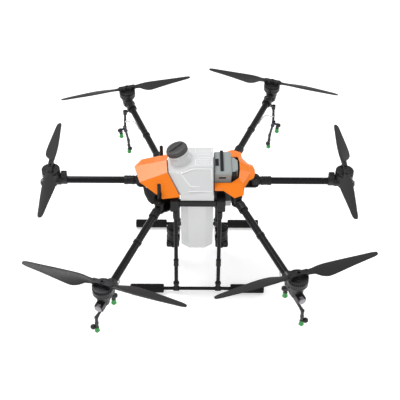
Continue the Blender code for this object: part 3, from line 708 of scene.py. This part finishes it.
def blade_shape(spin):
    """One folding blade along +X from its bolt, with a flat eye at its root."""
    stations = curve_through([Vector(section) for section in BLADE_SECTIONS], 5)
    part = bmesh.new()
    rings = [[part.verts.new(point) for point in blade_section(*station, spin)] for station in stations]
    skin(part, rings)
    bm = bmesh.new()
    absorb(bm, part)
    root = [Vector(point) for point in blade_section(*BLADE_SECTIONS[1], spin)]
    collar = []
    for step in range(20):
        angle = math.tau * step / 20
        for z in (-0.0044, 0.0044):
            collar.append(Vector((0.0105 * math.cos(angle), 0.0105 * math.sin(angle), z)))
    hull(bm, collar + root, 0)
    eye = [(0.0105, -0.0052), (0.0118, -0.0044), (0.0118, 0.0044), (0.0105, 0.0052)]
    turned(bm, eye, sides=32)
    return bm


def copy_at(mesh, matrix):
    """A copy of a finished mesh, moved to its own place."""
    moved = mesh.copy()
    moved.transform(matrix)
    return moved


def make_rotors():
    """Six bells with their hub plates, bolts and blades."""
    bell = finished("bell", rotor_shape(), "bell")
    bolts = finished("bolts", rotor_screws(), "bolt")
    blades = {spin: finished("blade", blade_shape(spin), "blade") for spin in (-1, 1)}
    for name in ARM_NAMES:
        place, reach, rise = arm_places(name)
        body = "rotor_" + name
        hub = place @ Matrix.Translation((reach, 0, rise)) @ Matrix.Rotation(math.pi / 2, 4, "Z")
        soften(show(body + "_bell", copy_at(bell, hub), "bell", body, stands_for=(body,)))
        show(body + "_bolts", copy_at(bolts, hub), "bolt", body)
        for half_turn, letter in ((0, "a"), (math.pi, "b")):
            node = "blade_" + name + "_" + letter
            bolt = hub @ Matrix.Rotation(half_turn, 4, "Z") @ Matrix.Translation((BOLT_RADIUS, 0, 0))
            show(node + "_airfoil", copy_at(blades[SPIN[name]], bolt), "blade", node, stands_for=(node,))


# ---- spray booms --------------------------------------------------------------------------

BOOM_INBOARD = 0.085  # clamp to the motor's axis, along the arm
HOSE_FROM_PIN = {-1: 0.470, 1: 0.378}  # where a hose meets a left and a right arm
HOSE_GAP = 0.0018  # a hose's end from the surface it meets
ROD_RADIUS = 0.0070
TIP_DROP = 0.036
# Each boom's points from its clamp: outboard along X, towards the drone's middle, and up
LEFT_BOOM = {
    "bracket": (0.000, 0.000, -0.036),
    "tee": (0.020, 0.034, -0.116),
    "inner_valve": (-0.0025, 0.046, -0.1225),
    "inner_tip": (0.004, 0.043, -0.159),
    "elbow": (0.084, 0.000, -0.220),
    "outer_valve": (0.103, 0.000, -0.283),
    "outer_tip": (0.086, 0.000, -0.300),
}
RIGHT_BOOM = {
    "bracket": (0.039, 0.014, -0.018),
    "tee": (0.042, 0.034, -0.116),
    "inner_valve": (0.0715, 0.046, -0.1225),
    "inner_tip": (0.0655, 0.043, -0.159),
    "elbow": (0.030, 0.004, -0.222),
    "outer_valve": (0.024, 0.000, -0.283),
    "outer_tip": (0.029, 0.000, -0.300),
}


def boom_points(name):
    """Key points of a boom in the world, its arm's direction and the way out across the arm."""
    place, reach, _ = arm_places(name)
    along = place.to_3x3() @ Vector((1, 0, 0))
    clamp = place @ Vector((reach - BOOM_INBOARD, 0, 0))
    outboard = math.copysign(1, clamp.x)
    side = 1 if clamp.y > 0 else -1
    across = Vector((-along.y, along.x, 0)) * math.copysign(1, -along.y * outboard)
    points = {"clamp": clamp, "hose": place @ Vector((HOSE_FROM_PIN[side], 0, 0))}
    for key, (out, towards, up) in (LEFT_BOOM if clamp.y < 0 else RIGHT_BOOM).items():
        points[key] = clamp + Vector((outboard * out, -side * towards, up))
    return points, along, across


def nozzle_parts(black, green, top, valve, tip):
    """A nozzle: ribbed upright body, round check valve beside it and a lobed spray tip below."""
    low = Vector((tip.x, tip.y, tip.z + 0.016))
    down = (low - top).normalized()
    length = (low - top).length
    body = [
        (0.0066, -0.0060),
        (0.0094, -0.0045),
        (0.0094, 0.0030),
        (0.0078, 0.0045),
        (0.0078, length * 0.45),
        (0.0094, length * 0.50),
        (0.0094, length * 0.62),
        (0.0080, length * 0.66),
        (0.0080, length - 0.004),
        (0.0096, length - 0.002),
        (0.0076, length),
    ]
    turned(black, body, facing(top, down), 32)
    side = Vector((math.copysign(1, valve.x - tip.x), 0, 0))
    ball = []
    for step in range(13):
        angle = math.pi * (step - 6) / 13
        ball.append((0.0132 * math.cos(angle), 0.0132 * math.sin(angle)))
    turned(black, ball, facing(valve, side), 36)
    knob = [(0.0085, 0.0070), (0.0085, 0.0108), (0.0068, 0.0118), (0.0022, 0.0118)]
    turned(black, knob, facing(valve, side), 10)
    rod(black, Vector((valve.x, valve.y, tip.z + 0.020)), low, 0.0066, sides=20)
    profile = [
        (0.0075, -0.0008),
        (0.0098, 0.0008),
        (0.0098, 0.0080),
        (0.0090, 0.0095),
        (0.0116, 0.0265),
        (0.0104, 0.0280),
        (0.0030, 0.0280),
        (0.0025, 0.0260),
    ]
    tip_frame = facing(low, -UP)
    turned(green, profile, tip_frame, 32)
    for step in range(4):
        turn = tip_frame @ Matrix.Rotation(math.tau * step / 4, 4, "Z")
        lug = [(0.006, -0.0040), (0.006, 0.0040), (0.0104, -0.0028), (0.0104, 0.0028)]
        hull(green, [(x, y, z) for x, y in lug for z in (0.0010, 0.0080)], 0.0008, 1, turn)
        wing = [(0.005, 0.0105), (0.0100, 0.0105), (0.005, 0.0278), (0.0130, 0.0278)]
        hull(green, [(x, y, z) for x, z in wing for y in (-0.0022, 0.0022)], 0.0005, 1, turn)


def make_boom(name):
    """The spray boom of one side arm, from its clamp to its two nozzles."""
    points, along, across = boom_points(name)
    clamp, bracket, tee, elbow = (points[key] for key in ("clamp", "bracket", "tee", "elbow"))
    body = "arm_" + name
    black = bmesh.new()
    green = bmesh.new()
    saddle = facing(clamp, along)
    ring = [
        (0.0188, -0.0120),
        (0.0245, -0.0118),
        (0.0262, -0.0100),
        (CLAMP_RADIUS, -0.0060),
        (CLAMP_RADIUS, 0.0060),
        (0.0262, 0.0100),
        (0.0245, 0.0118),
        (0.0188, 0.0120),
    ]
    turned(black, ring, saddle, 56)
    hold = clamp.lerp(bracket, 0.60)
    rod(black, hold, bracket, 0.0085, sides=28)
    for offset in (-0.006, 0.006):
        screw(black, clamp + along * offset + UP * 0.0262, UP, 0.0024, 0.0020)
    block_profile = [
        (0.0085, -0.016),
        (0.0108, -0.014),
        (0.0115, -0.010),
        (0.0115, -0.002),
        (0.0104, 0.0),
        (0.0115, 0.002),
        (0.0115, 0.0105),
        (0.0095, 0.012),
    ]
    turned(black, block_profile, facing(bracket, UP), 32)
    rod(black, bracket, tee, ROD_RADIUS, sides=28)
    fall = (tee - bracket).normalized()
    middle = bracket.lerp(tee, 0.5)
    collar = [(0.0063, -0.009), (0.0078, -0.008), (0.0078, 0.008), (0.0063, 0.009)]
    turned(black, collar, facing(middle, fall), 28)
    rod(black, tee, elbow, ROD_RADIUS, sides=28)
    bend = [(0.0062, -0.018), (0.0082, -0.016), (0.0085, 0.0), (0.0060, 0.004)]
    turned(black, bend, facing(elbow, elbow - tee), 28)
    inner_top = points["inner_tip"] + UP * (TIP_DROP + 0.004)
    nozzle_parts(black, green, inner_top, points["inner_valve"], points["inner_tip"])
    nozzle_parts(black, green, elbow, points["outer_valve"], points["outer_tip"])
    navy = bmesh.new()
    down = (elbow - tee).normalized()
    joint = [
        (0.0078, -0.0170),
        (0.0108, -0.0155),
        (0.0113, -0.0110),
        (0.0098, -0.0090),
        (0.0098, 0.0140),
        (0.0113, 0.0160),
        (0.0110, 0.0235),
        (0.0078, 0.0260),
    ]
    turned(navy, joint, facing(tee, down), 32)
    rod(navy, tee, inner_top, 0.0062, sides=24)
    replaced = ("spray_boom_" + name,)
    soften(show("spray_boom_" + name + "_rods", black, "nozzle", body, stands_for=replaced))
    soften(show("spray_tee_" + name, navy, "navy", body))
    soften(show("spray_tips_" + name, green, "green", body))


def make_hose(name):
    """The pale hose from a side arm to its boom."""
    points, along, across = boom_points(name)
    out = (across * 0.35 - UP).normalized()
    start = points["hose"] + out * (TUBE_RADIUS + HOSE_GAP)
    end = points["bracket"].lerp(points["tee"], 0.5) - along * (ROD_RADIUS + HOSE_GAP)
    route = smooth_route(
        [
            start,
            start + out * 0.012,
            start.lerp(end, 0.35) - across * 0.014 + UP * -0.004,
            start.lerp(end, 0.68) - across * 0.018 + UP * 0.010,
            end - along * 0.010 + UP * 0.002,
            end,
        ],
        HOSE_RADIUS * 2,
    )
    hose = bmesh.new()
    swept(hose, route, HOSE_RADIUS)
    show("hose_" + name + "_tube", hose, "hose", "arm_" + name, stands_for=("hose_" + name,), sharp=60)


# ---- landing gear -------------------------------------------------------------------------

SKID_Z = 0.0235
SKID_TUBE = 0.009
FOAM_RADIUS = 0.0233
STRUT_RADIUS = 0.010
STRUT_X = 0.108
STRUT_TOP = (0.170, 0.4845)  # y and z where a strut meets its frame
RING_Z = 0.183


def make_strut(tubes, fittings, foot, head, side):
    """One strut with its upper socket, ring, lower cup and the saddle on the skid."""
    down = (foot - head).normalized()
    rod(tubes, head + down * 0.01, foot, STRUT_RADIUS, sides=36)
    socket = [
        (0.0115, 0.0),
        (0.0145, 0.002),
        (0.0145, 0.034),
        (0.0132, 0.036),
        (0.0132, 0.044),
        (0.0110, 0.0455),
    ]
    turned(fittings, socket, facing(head + down * 0.0008, down), 36)
    ring = head + down * ((head.z - RING_Z) / -down.z)
    band = [
        (0.0102, -0.020),
        (0.0128, -0.019),
        (0.0135, -0.016),
        (0.0126, -0.003),
        (0.0126, 0.003),
        (0.0135, 0.016),
        (0.0128, 0.019),
        (0.0102, 0.020),
    ]
    turned(fittings, band, facing(ring, down), 32)
    screw(fittings, ring + Vector((0, side * 0.0122, 0)), (0, side, 0.1), 0.0026)
    cup = [
        (0.0102, 0.0),
        (0.0145, 0.002),
        (0.0160, 0.006),
        (0.0160, 0.012),
        (0.0145, 0.016),
        (0.0120, 0.018),
        (0.0120, 0.044),
    ]
    turned(fittings, cup, facing(foot - down * 0.044, down), 36)
    saddle = [(0.0105, -0.016), (0.0135, -0.0145), (0.0135, 0.0145), (0.0105, 0.016)]
    turned(fittings, saddle, facing(foot, (1, 0, 0)), 36)
    for offset in (-0.010, 0.010):
        screw(fittings, foot + Vector((offset, side * 0.0132, 0.002)), (0, side, 0.15), 0.0024)


def make_landing_gear():
    """Both skids, their struts and foam sleeves."""
    for side, name in ((-1, "left"), (1, "right")):
        foam_low, foam_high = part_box("skid_foam_front_" + name)
        leg_low, leg_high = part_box("landing_leg_" + name)
        y = (foam_low.y + foam_high.y) / 2
        tubes = bmesh.new()
        fittings = bmesh.new()
        skid_start = (leg_low.x + 0.001, y, SKID_Z)
        skid_end = (leg_high.x - 0.001, y, SKID_Z)
        rod(tubes, skid_start, skid_end, SKID_TUBE, sides=36)
        for end in (-1, 1):
            x = end * STRUT_X
            head = Vector((x, side * STRUT_TOP[0], STRUT_TOP[1]))
            make_strut(tubes, fittings, Vector((x, y, SKID_Z)), head, side)
        leg = "landing_leg_" + name
        show(leg + "_tubes", tubes, "carbon", "airframe", stands_for=(leg,))
        soften(show(leg + "_fittings", fittings, "black", "airframe"))
        make_foam(name, y)


def make_foam(name, y):
    """The two soft sleeves of a skid, with rounded ends and a slightly uneven skin."""
    for end in ("front", "rear"):
        node = "skid_foam_" + end + "_" + name
        low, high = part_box(node)
        length = high.x - low.x
        profile = [(SKID_TUBE + 0.001, 0.0), (0.0212, 0.0012), (0.0230, 0.0045)]
        for step in range(1, 12):
            wave = 0.0002 * math.sin(step * 2.1)
            profile.append((FOAM_RADIUS + wave, length * step / 12))
        profile += [(0.0230, length - 0.0045), (0.0212, length - 0.0012), (SKID_TUBE + 0.001, length)]
        foam = bmesh.new()
        turned(foam, profile, facing((low.x, y, SKID_Z), (1, 0, 0)), 40)
        piece = show(node + "_sleeve", foam, "foam", "airframe", stands_for=(node,), sharp=60)


# ---- tank and lid -------------------------------------------------------------------------

PANEL_PLANE = 0.7642  # distance from the middle plus height, all over a side panel of the tank
ROOF_Z = 0.6875
NECK_RADIUS = 0.0445
LID_RADIUS = 0.0526


def rounded_loop(corners, reach):
    """A closed route through some corners, each cut by a small arc; it starts and ends mid-side."""
    corners = [Vector(corner) for corner in corners]
    route = [(corners[-1] + corners[0]) / 2]
    for before, corner, after in zip(corners[-1:] + corners, corners, corners[1:] + corners[:1]):
        start = corner + (before - corner).normalized() * reach
        end = corner + (after - corner).normalized() * reach
        for step in range(7):
            t = step / 6
            route.append(start * (1 - t) ** 2 + corner * 2 * t * (1 - t) + end * t**2)
    route.append(route[0].copy())
    return route


def make_tank_ribs():
    """Raised rims of the side panels and of the roof's recess, its ribs and the shoulder beads."""
    ribs = bmesh.new()
    for side in (-1, 1):
        panel = ((-0.085, 0.1025), (-0.022, 0.0865), (0.066, 0.0865), (0.066, 0.147), (-0.036, 0.147))
        rim = [(x, side * y, PANEL_PLANE - y) for x, y in panel]
        swept(ribs, rounded_loop(rim, 0.007), 0.0032, 12)
        shoulder = [Vector((x, side * 0.1655, 0.6035)) for x in (-0.046, 0.012, 0.070)]
        swept(ribs, shoulder, 0.0022, 10)
    recess = [(-0.012, -0.070), (0.067, -0.070), (0.067, 0.070), (-0.012, 0.070)]
    swept(ribs, rounded_loop([(x, y, ROOF_Z) for x, y in recess], 0.012), 0.0024, 10)
    for y in (-0.054, -0.040, -0.026, -0.012, 0.012, 0.026, 0.040, 0.054):
        z = 0.692 - abs(y) * 0.064
        block(ribs, (-0.004, y - 0.0018, z - 0.003), (0.059, y + 0.0018, z + 0.0008), 0.0007)
    return ribs


def make_tank():
    """The tank's shell with its raised rims and neck rings; the rims and ribs take a lighter white that
    paints in their highlights.
    """
    shape = from_node("tank", 0.0026, segments=3, least_angle=12)
    soften(show("tank_shell", shape, "white", "tank", stands_for=("tank",), sharp=50))
    # The ribs take the lighter rim white: their highlights are painted into their colour
    soften(show("tank_ribs", make_tank_ribs(), "rim", "tank"))
    lid = Vector(JOINTS["lid_turn"]["pos_m"])
    up = Vector(JOINTS["lid_turn"]["axis"])
    details = bmesh.new()
    collar = [
        (NECK_RADIUS, -0.0230),
        (0.0480, -0.0220),
        (0.0480, -0.0165),
        (NECK_RADIUS, -0.0150),
        (NECK_RADIUS, -0.0100),
        (0.0470, -0.0090),
        (0.0470, -0.0045),
        (0.0442, -0.0035),
        (0.0438, -0.0008),
    ]
    turned(details, collar, facing(lid, up), 72)
    soften(show("tank_neck_rings", details, "white", "tank"))
    make_lid(lid, up)


def make_lid(lid, up):
    """The screw lid, with its ribbed edge and the grip across its top."""
    cap = bmesh.new()
    rim = [
        (0.0510, 0.0),
        (LID_RADIUS, 0.001),
        (LID_RADIUS, 0.0185),
        (0.0520, 0.0210),
        (0.0490, 0.0255),
        (0.0440, 0.0275),
        (0.0310, 0.0280),
        (0.0290, 0.0262),
    ]
    turned(cap, rim, facing(lid, up), 72)
    lid_frame = Matrix.Translation(lid) @ UP.rotation_difference(up).to_matrix().to_4x4()
    for step in range(36):
        turn = lid_frame @ Matrix.Rotation(math.tau * step / 36, 4, "Z")
        block(cap, (0.0510, -0.0013, 0.002), (0.0538, 0.0013, 0.0185), 0.0005, 1, turn)
    handle = lid_frame @ Matrix.Rotation(math.radians(35), 4, "Z")
    wing = [(x, y, 0.025) for x in (-0.042, 0.042) for y in (-0.0065, 0.0065)]
    wing += [(x, y, 0.0355) for x in (-0.039, 0.039) for y in (-0.0045, 0.0045)]
    hull(cap, wing, 0.0015, 2, handle)
    soften(show("tank_lid_cap", cap, "lid", "tank_lid", stands_for=("tank_lid",)))


# ---- battery, pumps and electronics -------------------------------------------------------

PUMP_SIDE = 0.036  # half of a pump head's width
PUMP_HEAD = 0.040  # its height

def make_battery():
    """The battery, its carrying bar, dark panels and low trim."""
    shape = from_node("battery", 0.0035, segments=3, least_angle=12)
    soften(show("battery_case", shape, "battery", "battery", stands_for=("battery",), sharp=50))
    low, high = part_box("battery")
    top = high.z
    dark = bmesh.new()
    bar_low, bar_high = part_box("battery_handle")
    block(dark, (bar_low.x, bar_low.y, bar_high.z - 0.0050), bar_high, 0.0018, 3)
    for y in (-0.065, 0.080):
        block(
            dark,
            (bar_low.x + 0.001, y - 0.006, bar_low.z),
            (bar_high.x - 0.001, y + 0.006, bar_high.z - 0.002),
            0.001,
        )
    soften(show("battery_grip", dark, "black", "battery", stands_for=("battery_handle",)))
    panels = bmesh.new()
    block(panels, (0.085, -0.030, top - 0.001), (0.103, 0.027, top + 0.0012), 0.001)
    block(panels, (0.102, low.y - 0.0010, top - 0.031), (0.137, low.y + 0.002, top - 0.022), 0.0008)
    block(panels, (0.1595, -0.088, top - 0.055), (0.190, -0.052, top - 0.016), 0.003)
    block(panels, (0.166, 0.060, top - 0.055), (0.188, 0.084, top - 0.030), 0.003)
    soften(show("battery_panels", panels, "black", "battery"))
    trim = bmesh.new()
    for z in (top - 0.012, top - 0.040):
        block(trim, (0.084, low.y - 0.0008, z - 0.0012), (0.160, low.y + 0.001, z + 0.0012), 0.0005)
    block(trim, (0.132, -0.082, top - 0.001), (0.158, 0.082, top + 0.0010), 0.0008)
    block(trim, (0.168, -0.040, top - 0.0150), (0.182, 0.040, top - 0.0130), 0.0006)
    soften(show("battery_trim", trim, "battery", "battery"))


def make_pumps():
    """The two pumps: a ribbed head, a stepped motor can and hose barbs."""
    for name in ("front", "rear"):
        node = "pump_" + name
        low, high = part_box(node)
        x = (low.x + high.x) / 2
        shape = bmesh.new()
        block(shape, (low.x, -PUMP_SIDE, low.z), (high.x, PUMP_SIDE, low.z + PUMP_HEAD), 0.009, 4)
        for z in (low.z + 0.012, low.z + 0.025):
            block(shape, (low.x - 0.0002, -0.0365, z), (high.x + 0.0002, 0.0365, z + 0.006), 0.001)
        can = [
            (0.0310, PUMP_HEAD),
            (0.0335, 0.042),
            (0.0335, 0.056),
            (0.0316, 0.058),
            (0.0316, 0.086),
            (0.0330, 0.088),
            (0.0330, 0.094),
            (0.0316, 0.096),
            (0.0316, 0.104),
            (0.0335, 0.106),
            (0.0335, 0.112),
            (0.0300, 0.114),
            (0.0235, 0.114),
            (0.0235, 0.122),
            (0.0150, 0.124),
        ]
        turned(shape, can, Matrix.Translation((x, 0, low.z)), 48)
        barb = [
            (0.0078, 0.0),
            (0.0078, 0.005),
            (0.0062, 0.006),
            (0.0078, 0.007),
            (0.0062, 0.010),
            (0.0078, 0.011),
            (0.0062, 0.015),
            (0.0052, 0.016),
        ]
        for side in (-1, 1):
            turned(shape, barb, facing((x, side * PUMP_SIDE, low.z + 0.020), (0, side, 0)), 24)
            for corner in (-0.026, 0.026):
                screw(shape, (x + corner, side * 0.030, low.z + 0.0398), UP, 0.003)
            pad = Vector((x, side * 0.031, low.z + 0.078))
            reach = Vector((0.009, 0.005, 0.012))
            block(shape, pad - reach, pad + reach, 0.002)
        soften(show(node + "_body", shape, "pump", "airframe", stands_for=(node,)))


def make_electronics():
    """The boxes under the covers and the two antenna posts."""
    for node in ("flight_controller", "flow_meter"):
        shape = from_node(node, 0.0012, segments=2)
        look = "black" if node == "flight_controller" else "grey"
        soften(show(node + "_case", shape, look, "airframe", stands_for=(node,)))
    for name in ("left", "right"):
        node = "antenna_" + name
        low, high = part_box(node)
        middle = (low + high) / 2
        radius = (high.x - low.x) / 2
        length = high.z - low.z
        post = bmesh.new()
        profile = [
            (radius * 0.9, 0.0),
            (radius, 0.002),
            (radius, length - 0.026),
            (radius * 0.94, length - 0.025),
            (radius * 0.94, length - 0.023),
            (radius, length - 0.022),
            (radius, length - 0.003),
            (radius * 0.80, length - 0.0006),
            (radius * 0.30, length),
        ]
        turned(post, profile, Matrix.Translation((middle.x, middle.y, low.z)), 32)
        soften(show(node + "_post", post, "black", "airframe", stands_for=(node,)))


FINISH = make_finishes()
make_camera()
make_studio()
make_covers()
make_frames()
for arm_name in ARM_NAMES:
    make_arm(arm_name)
    make_motor(arm_name)
make_rotors()
for arm_name in SIDE_ARMS:
    make_boom(arm_name)
    make_hose(arm_name)
make_landing_gear()
make_tank()
make_battery()
make_pumps()
make_electronics()
